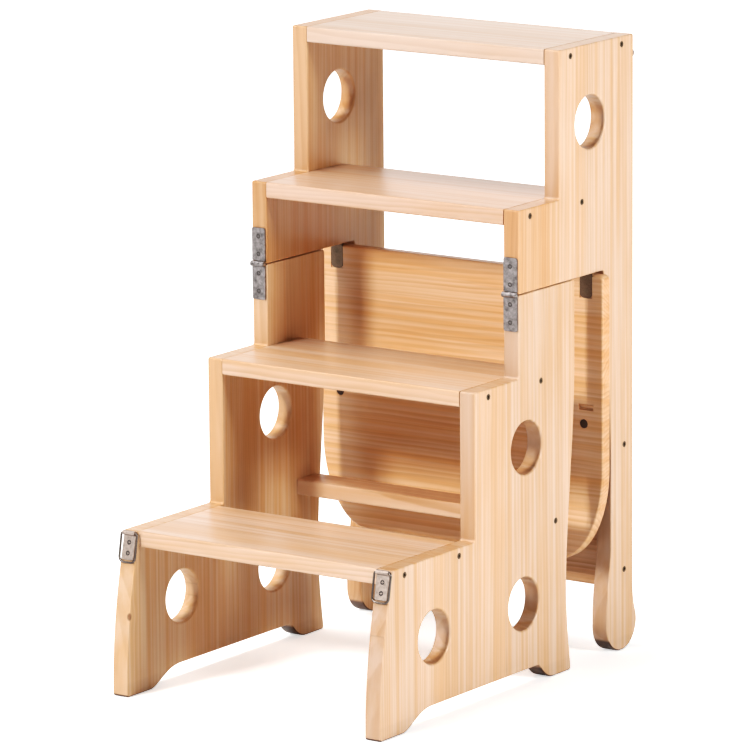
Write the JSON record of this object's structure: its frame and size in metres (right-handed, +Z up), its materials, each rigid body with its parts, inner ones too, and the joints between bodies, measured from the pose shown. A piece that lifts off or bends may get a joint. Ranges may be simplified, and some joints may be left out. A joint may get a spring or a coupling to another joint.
{
  "type": "library step chair",
  "caption": "Pine library step chair: a stepped base and a stepped upper half on front hinges, which turns over to make a chair, with a seat board, catches and hand holes.",
  "frame": {"origin": "on the floor, under the middle of the chair's bounding box in the step pose", "axes": "+Z up, -Y towards the front, where a user climbs, +X to the right of someone looking along +Y"},
  "size_m": [0.386, 0.5137, 0.7034],
  "materials": {
    "pine": "clear satin lacquer over glued pine boards",
    "screw_steel": "blackened",
    "grey_steel": "zinc plated",
    "bronze": "dark bronze plated",
    "wire_steel": "dark wire",
    "buffer_rubber": "matt dark brown",
    "nickel": "nickel plated"
  },
  "bodies": {
    "base": {"base_side_panel_left": "pine", "base_side_panel_right": "pine", "tread_1": "pine", "tread_2": "pine", "stretcher": "pine", "screw_tread_1_left_1": "screw_steel", "screw_tread_1_left_2": "screw_steel", "screw_tread_1_right_1": "screw_steel", "screw_tread_1_right_2": "screw_steel", "screw_tread_2_left_1": "screw_steel", "screw_tread_2_left_2": "screw_steel", "screw_tread_2_right_1": "screw_steel", "screw_tread_2_right_2": "screw_steel", "screw_stretcher_left_1": "screw_steel", "screw_stretcher_right_1": "screw_steel", "front_hinge_lower_leaf_left": "grey_steel", "front_hinge_lower_leaf_right": "grey_steel", "front_hinge_pin_left": "grey_steel", "front_hinge_pin_right": "grey_steel", "catch_plate_left": "nickel", "catch_plate_right": "nickel"},
    "upper": {"upper_side_panel_left": "pine", "upper_side_panel_right": "pine", "tread_3": "pine", "tread_4": "pine", "backrest_board": "pine", "screw_tread_3_left_1": "screw_steel", "screw_tread_3_left_2": "screw_steel", "screw_tread_3_right_1": "screw_steel", "screw_tread_3_right_2": "screw_steel", "screw_tread_4_left_1": "screw_steel", "screw_tread_4_left_2": "screw_steel", "screw_tread_4_right_1": "screw_steel", "screw_tread_4_right_2": "screw_steel", "screw_backrest_board_left_1": "screw_steel", "screw_backrest_board_left_2": "screw_steel", "screw_backrest_board_right_1": "screw_steel", "screw_backrest_board_right_2": "screw_steel", "front_hinge_upper_leaf_left": "grey_steel", "front_hinge_upper_leaf_right": "grey_steel", "seat_hinge_panel_leaf_left": "bronze", "seat_hinge_panel_leaf_right": "bronze", "seat_hinge_pin_left": "bronze", "seat_hinge_pin_right": "bronze", "catch_stud_left": "nickel", "catch_stud_right": "nickel"},
    "seat": {"seat_board": "pine", "seat_hinge_board_leaf_left": "bronze", "seat_hinge_board_leaf_right": "bronze", "seat_buffer_left": "buffer_rubber", "seat_buffer_right": "buffer_rubber"},
    "bail_left": {"catch_bail_left": "wire_steel"},
    "bail_right": {"catch_bail_right": "wire_steel"}
  },
  "joints": [
    {"name": "upper_fold", "type": "hinge", "parent": "base", "child": "upper", "pos_m": [0, 0.0101, 0.444], "axis": [1, 0, 0], "range_deg": [0, 180]},
    {"name": "seat_turn", "type": "hinge", "parent": "upper", "child": "seat", "pos_m": [0, 0.1632, 0.4439], "axis": [1, 0, 0], "range_deg": [-90, 0]},
    {"name": "bail_left_swing", "type": "hinge", "parent": "base", "child": "bail_left", "pos_m": [-0.17, -0.235, 0.18175], "axis": [-1, 0, 0], "range_deg": [0, 175]},
    {"name": "bail_right_swing", "type": "hinge", "parent": "base", "child": "bail_right", "pos_m": [0.17, -0.235, 0.18175], "axis": [-1, 0, 0], "range_deg": [0, 175]}
  ],
  "couplings": [
    {"joint": "seat_turn", "follows": "upper_fold", "ratio": -0.5}
  ]
}
